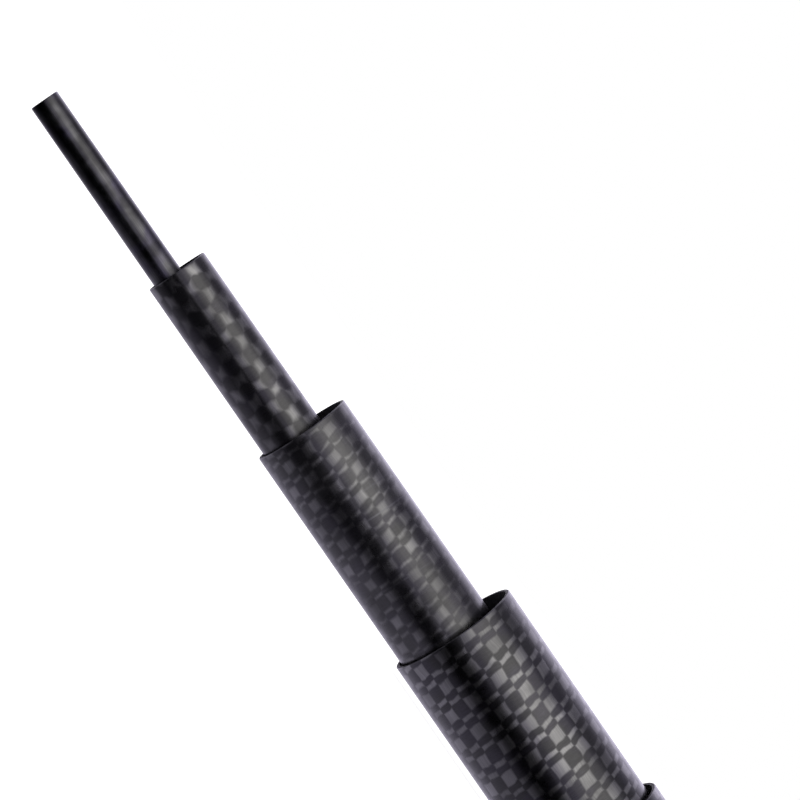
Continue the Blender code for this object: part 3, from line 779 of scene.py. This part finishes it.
def mirror_card(name, front_corner, back_corner, height, material):
    """A level card that only shows in the pole's shine."""
    middle = [(a + b) / 2 for a, b in zip(front_corner, back_corner)]
    bpy.ops.mesh.primitive_grid_add(x_subdivisions=8, y_subdivisions=8, size=1.0, location=(*middle, height))
    card = bpy.context.object
    card.name = name
    sizes = [b - a for a, b in zip(front_corner, back_corner)]
    bpy.ops.transform.resize(value=(*sizes, 1.0))
    bpy.ops.object.transform_apply(location=True, rotation=True, scale=True)
    card.data.materials.append(material)
    for ray in ("camera", "diffuse", "shadow", "transmission"):
        setattr(card, "visible_" + ray, False)


def long_lamp(name, degrees, distance, width, brightness, colour, length=2.6):
    """A long softbox beside the pole, so far up from the level of the camera."""
    angle = math.radians(degrees)
    place = (0.0, -distance * math.cos(angle), distance * math.sin(angle))
    bpy.ops.object.light_add(type="AREA", location=place)
    lamp = bpy.context.object
    lamp.name = name
    lamp.data.shape = "RECTANGLE"
    lamp.data.size = length
    lamp.data.size_y = width
    lamp.data.energy = brightness * math.pi * length * width
    lamp.data.color = colour
    lamp.visible_camera = False
    pole_middle = Vector((0.0, 0.0, 10 * MM))
    lamp.rotation_euler = (pole_middle - lamp.location).to_track_quat("-Z", "Y").to_euler()


def studio_world(settings):
    """An even pale room, white to the camera and nearly so in mirrors and glass."""
    b = Board("studio", "worlds", "Background")
    mirrored, seen = b.rays()
    b.set("Color", b.mix(mirrored, (1.0, 1.0, 1.0), tuple(settings.surround)))
    b.set("Strength", b.ramp(seen, 0.0, 1.0, settings.daylight, 1.0, smooth=False))
    return b.owner


class POLE_OT_stage(bpy.types.Operator):
    """Set up the floor, the light and the camera"""

    bl_idname = "pole.stage"
    bl_label = "Set the Stage"

    def execute(self, context):
        settings = context.scene.pole_stage
        surround = tuple(settings.surround)
        bpy.ops.mesh.primitive_grid_add(x_subdivisions=6, y_subdivisions=6, size=40.0)
        floor = context.object
        floor.name = "floor"
        floor.data.materials.append(pale_floor(tuple(settings.floor_colour), surround))

        above_floor, overhead = 0.2 * MM, 0.50
        # painted reflections: a nearly black glowing card on the floor in front of the pole puts a dark band
        # in its shine, and a grey glowing card overhead puts a pale one; neither is a lamp
        black = reflection_glow(Board("black_paper"), surround, 0.02)
        grey = reflection_glow(Board("grey_paper"), surround, 0.5)
        mirror_card("floor_card", (-0.75, -0.085), (0.75, 0.02), above_floor, graded_paper(surround))
        mirror_card("flag_card", (-0.578, -0.50), (-0.43, -0.085), above_floor, black)
        mirror_card("overhead_card", (-1.3, -0.07), (1.3, 0.22), overhead, grey)

        warm = (1.0, 0.99, 0.875)
        long_lamp("wide_softbox", 46.0, 1.10, 1.32, settings.key_light, warm)
        long_lamp("core_softbox", 44.0, 1.05, 0.62, settings.core_light, warm)
        long_lamp("rim_softbox", 146.0, 1.10, 0.90, settings.rim_light, surround)
        context.scene.world = studio_world(settings)

        facing = (
            Matrix.Rotation(-settings.yaw, 3, "Z")
            @ Matrix.Rotation(math.pi / 2, 3, "X")
            @ Matrix.Rotation(settings.roll, 3, "Z")
        )
        bpy.ops.object.camera_add(location=settings.place, rotation=facing.to_euler())
        camera = context.object
        camera.name = "camera"
        camera.data.lens = settings.lens
        camera.data.sensor_width = 36.0
        camera.data.clip_start = 0.01
        camera.data.clip_end = 100.0
        context.scene.camera = camera
        context.scene.view_settings.view_transform = "Standard"
        return {"FINISHED"}


# Pieces

NICKEL = (0.63, 0.61, 0.555)
BARE_ALUMINIUM = (0.62, 0.61, 0.58)
CLOTHS = {
    "butt_section": dict(columns=32, phase=0.2, shift=0.3, wander=0.5, fray=0.10, blur=0.14, fade=0.1),
    "fifth_section": dict(columns=26, phase=1.34, shift=0.62, wander=0.5, fray=0.16, blur=0.18, fade=0.15),
    "fourth_section": dict(
        columns=22, phase=1.255, shift=0.125, wander=0.6, fray=0.18, blur=0.28, fade=0.4,
        stretch=0.86, wide=0.56, wraps=(9.9, 13.4, 22.3, 31.5),
    ),
    "third_section": dict(
        columns=16, phase=0.27, shift=0.005, wander=0.4, fray=0.30, blur=0.50, fade=0.25,
        stretch=1.57, wide=0.34, lean=0.0,
    ),
}


class POLE_OT_sections(bpy.types.Operator):
    """Turn the five hollow sections and dress them in carbon"""

    bl_idname = "pole.sections"
    bl_label = "Lay the Sections"

    def execute(self, context):
        settings = context.scene.pole_sections
        looks = {}
        for node, lay in CLOTHS.items():
            looks[node] = woven_carbon(node.replace("section", "cloth"), settings, **lay)
        looks["second_section"] = plain_carbon("plain_lacquer", settings)
        raw = raw_carbon()
        for node, material in looks.items():
            axis = Axis(node)
            outline = profile(node, axis)
            if len(outline) not in (7, 8):
                raise RuntimeError(f"{node} isn't a plain tube: {outline}")
            piece = turn(node + "_tube", axis, outline, settings.sides)
            settle(piece)
            wrap_uv(piece, axis, "cloth")
            dress(piece, node, material)
            piece.data.materials.append(raw)
            for face in piece.data.polygons:
                station, radius, share = axis.measure(face.center)
                outward = (face.center - axis.at(station)).dot(face.normal)
                if outward < 0.3 * radius:
                    face.material_index = 1
        return {"FINISHED"}


class POLE_OT_tip(bpy.types.Operator):
    """Turn the solid tip and the ferrule on its nose"""

    bl_idname = "pole.tip"
    bl_label = "Turn the Tip"

    def execute(self, context):
        axis = Axis("tip_rod")
        outline = mm((0, 0.35), (0.12, 0.55), (0.4, 0.6))
        outline += mm((-80, 1.43), (-0.4, 1.59), (-0.1, 1.5), (0, 1.3), base=axis.length)
        rod = turn("tip_rod_ground", axis, outline, 40, closed=False)
        settle(rod)
        dress(rod, "tip_rod", ground_carbon("tip_lacquer", axis))

        ferrule = lathe(
            "tip_ferrule", axis, 48,
            (0, 0.42), (0, 0.8), (0.06, 0.92), (0.2, 1), (2.1, 1), (2.25, 0.93), (2.75, 0.93), (2.9, 1),
            (7.3, 1), (7.45, 0.95), (7.5, 0.9), (7.5, 0.67), (1.35, 0.67), (1.35, 0.36), (0.1, 0.36),
        )
        dress(ferrule, "tip_ferrule", metal("ferrule_bright", (0.60, 0.585, 0.53), 0.22, axis, 0.08))
        return {"FINISHED"}


def grip_skin(axis):
    """The radius of the grip's skin by station: the butt's own taper with the rubber on it."""
    (_, front_radius), (_, rear_radius) = profile("butt_section", axis)[1:3]
    slope = (rear_radius - front_radius) / axis.length
    rubber = 1.0 * MM
    return lambda station: front_radius + slope * station + rubber


def grip_groove(skin, station):
    """A shallow groove round the grip that starts at a station."""
    groove = mm((0, 0), (0.4, 0.32), (3, 0.32), (3.4, 0), base=station)
    return [(place, skin(place) - depth) for place, depth in groove]


def press_diamonds(sleeve, axis, skin, height, first, step, count):
    """Presses the skin in between two sets of crossing ribs, and keeps which points lie deep."""
    sides = 72
    across = 6
    bpy.ops.object.mode_set(mode="EDIT")
    bpy.ops.mesh.select_all(action="DESELECT")
    bpy.ops.mesh.select_mode(type="VERT")
    bpy.ops.object.mode_set(mode="OBJECT")
    last = first + count * step
    valleys = sleeve.data.attributes.new("valley", "FLOAT", "POINT")
    for vertex in sleeve.data.vertices:
        station, radius, share = axis.measure(vertex.co)
        if radius > skin(station) - 0.1 * MM and first + step / 2 < station < last - step / 2:
            i = round((station - first) / step)
            j = round(share * sides)
            vertex.select = (i + j) % across != 0 and (i - j) % across != 0
            valleys.data[vertex.index].value = float(vertex.select)
    bpy.ops.object.mode_set(mode="EDIT")
    bpy.ops.transform.shrink_fatten(value=-height)
    bpy.ops.object.mode_set(mode="OBJECT")
    rounding = sleeve.modifiers.new("moulding", "SUBSURF")
    rounding.levels = rounding.render_levels = 1
    bpy.ops.object.modifier_apply(modifier=rounding.name)
    bpy.ops.object.shade_smooth_by_angle(angle=math.radians(50.0))


class POLE_OT_grip(bpy.types.Operator):
    """Shrink the rubber grip on the butt and set the trim ring in front of it"""

    bl_idname = "pole.grip"
    bl_label = "Shrink the Grip"

    def execute(self, context):
        settings = context.scene.pole_grip
        axis = Axis("butt_section")
        skin = grip_skin(axis)
        front, rear = axis.ends("grip_sleeve")
        first = front + settings.bare_length
        step = settings.rib_pitch / 6
        count = int((rear - settings.bare_length - first) / step)
        slim, stout = skin(front) / MM, skin(rear) / MM

        outline = mm((0, slim - 0.55), (0.15, slim - 0.2), (0.5, slim), base=front)
        outline += [(front + 4 * MM, skin(front + 4 * MM)), *grip_groove(skin, front + 6 * MM)]
        outline += [(first + i * step, skin(first + i * step)) for i in range(count + 1)]
        back = rear - 9.4 * MM
        outline += grip_groove(lambda station: skin(back), back)
        outline += mm((-0.3, stout), (-0.1, stout - 0.1), (0, stout - 0.3), (0, stout - 0.9), base=rear)
        outline += mm((0, slim - 0.9), base=front)
        sleeve = turn("grip_sleeve_shrunk", axis, outline, 72)
        settle(sleeve, 40.0)
        press_diamonds(sleeve, axis, skin, settings.rib_height, first, step, count)
        # the grip's rubber, with painted shade in the valleys between its ribs
        rubber = soft("grip_skin", tuple(settings.colour), 0.72, 2600.0, 0.05 * MM, 0.12, "valley")
        dress(sleeve, "grip_sleeve", rubber)

        top, base = slim + 0.1, slim - 0.9
        lands = (
            (0, -0.45), (0.12, -0.18), (0.4, 0), (1.7, 0), (1.9, -0.18), (2.3, -0.18), (2.5, 0),
            (3.5, 0), (3.7, -0.18), (4.1, -0.18), (4.3, 0), (5.6, 0), (5.88, -0.18), (6, -0.45),
        )
        outer = [(station, top + height) for station, height in lands]
        ring = lathe("grip_front_ring", axis, 128, (0, base + 0.22), *outer, (6, base), (0.3, base))
        look = metal("ring_anodised", (0.31, 0.305, 0.29), 0.26, axis, 0.18, BARE_ALUMINIUM)
        dress(ring, "grip_front_ring", look)
        return {"FINISHED"}


class POLE_OT_collar(bpy.types.Operator):
    """Turn the collar in the butt's rear end and cut its thread"""

    bl_idname = "pole.collar"
    bl_label = "Cut the Collar"

    def execute(self, context):
        axis = Axis("butt_section")
        collar = lathe(
            "butt_collar", axis, 128,
            (0, 10.6), (0.4, 10.9), (12.3, 10.9), (12.3, 12.55), (12.42, 12.85), (12.7, 12.98), (13.1, 12.98),
            (13.2, 12.86), (13.4, 12.86), (13.5, 12.98), (13.9, 12.98), (14.18, 12.85), (14.3, 12.6),
            (14.3, 10.35), (14.2, 10.12), (13.7, 9.93), (13.4, 9.93), (13, 10.42), (1.2, 10.42), (0.8, 9.95),
            (0.3, 9.95), (0, 10.2),
        )
        front, rear = axis.ends("butt_collar")
        pitch = context.scene.pole_cap.pitch
        join(collar, thread("collar_thread", axis, pitch, 10.46 * MM, 9.93 * MM, front + 1.9 * MM, 7))
        look = metal("collar_anodised", (0.33, 0.325, 0.31), 0.28, axis, 0.2, BARE_ALUMINIUM)
        dress(collar, "butt_collar", look)
        return {"FINISHED"}


class POLE_OT_cap(bpy.types.Operator):
    """Turn the fluted screw cap with its thread, seal ring and buffer"""

    bl_idname = "pole.cap"
    bl_label = "Turn the Cap"

    def execute(self, context):
        settings = context.scene.pole_cap
        axis = Axis("butt_section")
        cap = lathe(
            "butt_cap", axis, 192,
            (0, 8.95), (0.4, 9.27), (12.6, 9.27), (12.8, 9.32), (14, 9.35), (14, 10.8), (15.2, 10.8),
            (15.2, 12.5), (14, 12.5), (14, 13.5), (14.16, 13.82), (14.5, 13.98), (15.3, 13.98),
            (15.42, 13.72), (15.68, 13.72), (15.8, 13.98), (20.7, 13.98), (21.16, 13.89), (21.55, 13.63),
            (21.82, 13.23), (21.96, 12.8), (22, 12.5), (22, 11), (21.92, 10.75), (21.55, 10.35), (21.5, 10.1),
            (21.5, 5.75), (21.6, 5.5), (21.95, 5.15), (22, 5), (22, 3.1), (16, 3.1), (16, 7.35), (15.8, 7.62),
            (15.5, 7.65), (0.4, 7.65), (0, 7.95),
        )
        front, rear = axis.ends("butt_cap")
        head = 14.0 * MM
        depth, width = settings.flute_depth, settings.flute_width
        cutter = ((width / 2) ** 2 + depth**2) / (2 * depth)
        circle = math.sqrt(head**2 - (width / 2) ** 2) + cutter - depth
        flutes = ring_places(settings.flutes, circle)
        cut(cap, rods(axis, front + 18 * MM, cutter, 16 * MM, flutes, 64))
        drains = ring_places(3, 6 * MM)
        cut(cap, rods(axis, front + 19 * MM, 1 * MM, 12 * MM, drains, 24))
        bevel(cap, 0.12 * MM, 2, 32.0)
        settle(cap, 35.0)
        join(cap, thread("cap_thread", axis, settings.pitch, 9.22 * MM, 9.73 * MM, front + 1.6 * MM, 6))
        look = metal("cap_anodised", tuple(settings.colour), 0.30, axis, 0.25, (0.34, 0.34, 0.35))
        dress(cap, "butt_cap", look)

        circle, size, squeeze, flash = 11.65, 0.74, 0.97, 0.03
        middle = sum(axis.ends("cap_seal_ring")) / 2
        outline = []
        for i in range(24):
            angle = math.radians(180 - 15 * i)
            grown = size + (flash if i in (6, 18) else 0.0)
            outline += mm((squeeze * grown * math.cos(angle), circle + grown * math.sin(angle)), base=middle)
        seal = turn("cap_seal_ring_moulded", axis, outline, 128)
        settle(seal, 60.0)
        dress(seal, "cap_seal_ring", soft("seal_skin", (0.02, 0.02, 0.02), 0.5, 3800.0, 0.01 * MM))

        pad = lathe(
            "cap_buffer", axis, 96,
            (0, 1.4), (0, 8.5), (0.08, 8.9), (0.3, 9.25), (0.65, 9.5), (1.1, 9.63), (3.6, 9.63), (4, 9.45),
            (4, 1.1), (3.7, 1), (0.3, 1),
            making="foam", angle=50.0,
        )
        dress(pad, "cap_buffer", soft("foam_skin", (0.05, 0.05, 0.052), 0.88, 1900.0, 0.12 * MM, 0.3))
        return {"FINISHED"}


class POLE_OT_swivel(bpy.types.Operator):
    """Turn the bush, the swivel with its eye, the washer and the retainer"""

    bl_idname = "pole.swivel"
    bl_label = "Fit the Swivel"

    def execute(self, context):
        axis = Axis("butt_section")
        bush = lathe(
            "swivel_bush", axis, 96,
            (0, 2.2), (0, 2.9), (0.2, 3), (6.1, 3), (6.1, 4.4), (6.25, 4.57), (6.4, 4.6), (6.6, 4.57),
            (6.75, 4.45), (6.8, 4.3), (6.8, 2.35), (6.65, 2.15), (0.1, 2.15),
        )
        dress(bush, "swivel_bush", metal("bush_brass_turned", (0.66, 0.50, 0.23), 0.24, axis, 0.12))

        ball, neck_radius = 4.2, 2.5
        front, rear = axis.ends("swivel_eye")
        centre = rear - ball * MM
        outline = mm(
            (0.3, 0.9), (0.3, 1.5), (0.45, 2.1), (0.65, 2.55), (0.85, 2.75), (1.05, 2.8), (1.15, 2.75),
            (1.2, 2), (9.65, 2), (9.65, 3.9), (9.73, 4.1), (9.9, 4.2), (10.6, 4.2), (10.77, 4.1),
            (10.85, 3.9), (10.85, 2.75), (11, 2.58), (11.35, neck_radius),
            base=front,
        )
        neck = math.asin(neck_radius / ball)
        for i in range(25):
            angle = math.pi - neck - (math.pi - neck - 0.06) * i / 24
            outline += mm((ball * math.cos(angle), ball * math.sin(angle)), base=centre)
        eye = turn("swivel_eye_turned", axis, outline, 64, closed=False)
        settle(eye)
        cut(eye, rods(axis, centre, 1.35 * MM, 12 * MM, [(0.0, 0.0)], 48, across=True))
        bevel(eye, 0.22 * MM, 3, 40.0)
        settle(eye, 40.0)
        dress(eye, "swivel_eye", metal("swivel_polished", NICKEL, 0.16, axis, 0.06))

        washer = lathe(
            "swivel_washer", axis, 64,
            (0, 4.2), (0.1, 4.38), (0.5, 4.38), (0.6, 4.2), (0.6, 2.3), (0.45, 2.17), (0.15, 2.17), (0, 2.3),
            making="pressed",
        )
        dress(washer, "swivel_washer", soft("nylon_skin", (0.80, 0.80, 0.75), 0.45, 1400.0, 0.01 * MM))

        retainer = lathe(
            "swivel_retainer", axis, 64,
            (0, 3.75), (0.15, 3.98), (0.85, 3.98), (1, 3.8), (1, 2.15), (0.85, 2.06), (0.15, 2.06), (0, 2.15),
        )
        dress(retainer, "swivel_retainer", metal("retainer_polished", NICKEL, 0.2, axis, 0.08))
        return {"FINISHED"}


def arc(y, z, size, first, last, steps):
    """Points on an arc across the pole, from one angle to another in degrees."""
    angles = [math.radians(first + (last - first) * i / steps) for i in range(steps + 1)]
    return [(y + size * math.cos(a), z + size * math.sin(a)) for a in angles]


class POLE_OT_ring(bpy.types.Operator):
    """Bend the wire lanyard ring through the eye"""

    bl_idname = "pole.ring"
    bl_label = "Bend the Ring"

    def execute(self, context):
        settings = context.scene.pole_ring
        axis = Axis("butt_section")
        centre = axis.at(sum(axis.ends("lanyard_ring")) / 2)
        half, corner = settings.half_width, settings.corner
        bow = settings.reach - half
        bar = half - corner
        points = arc(bar, -corner, corner, 90, 0, 8) + arc(0.0, -bow, half, 0, -180, 32)
        points += arc(-bar, -corner, corner, 180, 90, 8)
        points += [(-bar + 2 * bar * i / 6, 0.0) for i in range(1, 6)]
        bpy.ops.curve.primitive_bezier_circle_add(radius=half)
        wire = bpy.context.object
        wire.name = "lanyard_ring_bent"
        wire.data.splines.clear()
        spline = wire.data.splines.new("POLY")
        spline.points.add(len(points) - 1)
        for point, (y, z) in zip(spline.points, points):
            point.co = (*(centre + Vector((0.0, y, 0.0)) + z * axis.up), 1.0)
        spline.use_cyclic_u = True
        wire.data.dimensions = "3D"
        wire.data.bevel_depth = settings.wire
        wire.data.bevel_resolution = 4
        bpy.ops.object.convert(target="MESH")
        wire = bpy.context.object
        settle(wire, 50.0)
        dress(wire, "lanyard_ring", metal("wire_polished", NICKEL, 0.16, axis, 0.05))
        return {"FINISHED"}


class POLE_PT_panel(bpy.types.Panel):
    """Lists the pieces of the pole in the order they are made"""

    bl_label = "Carp Pole"
    bl_idname = "POLE_PT_panel"
    bl_space_type = "VIEW_3D"
    bl_region_type = "UI"
    bl_category = "Carp Pole"

    def draw(self, context):
        for operator in STEPS:
            self.layout.operator(operator.bl_idname)


STEPS = (
    POLE_OT_stage, POLE_OT_sections, POLE_OT_tip, POLE_OT_grip,
    POLE_OT_collar, POLE_OT_cap, POLE_OT_swivel, POLE_OT_ring,
)
GROUPS = {
    "pole_stage": StageSettings,
    "pole_sections": SectionSettings,
    "pole_grip": GripSettings,
    "pole_cap": CapSettings,
    "pole_ring": RingSettings,
}
CLASSES = (*GROUPS.values(), *STEPS, POLE_PT_panel)


def register():
    for cls in CLASSES:
        bpy.utils.register_class(cls)
    for name, group in GROUPS.items():
        setattr(bpy.types.Scene, name, PointerProperty(type=group))


def unregister():
    for name in GROUPS:
        delattr(bpy.types.Scene, name)
    for cls in reversed(CLASSES):
        bpy.utils.unregister_class(cls)


def main():
    register()
    bpy.ops.pole.stage()
    bpy.ops.pole.sections()
    bpy.ops.pole.tip()
    bpy.ops.pole.grip()
    bpy.ops.pole.collar()
    bpy.ops.pole.cap()
    bpy.ops.pole.swivel()
    bpy.ops.pole.ring()


if __name__ == "__main__":
    main()
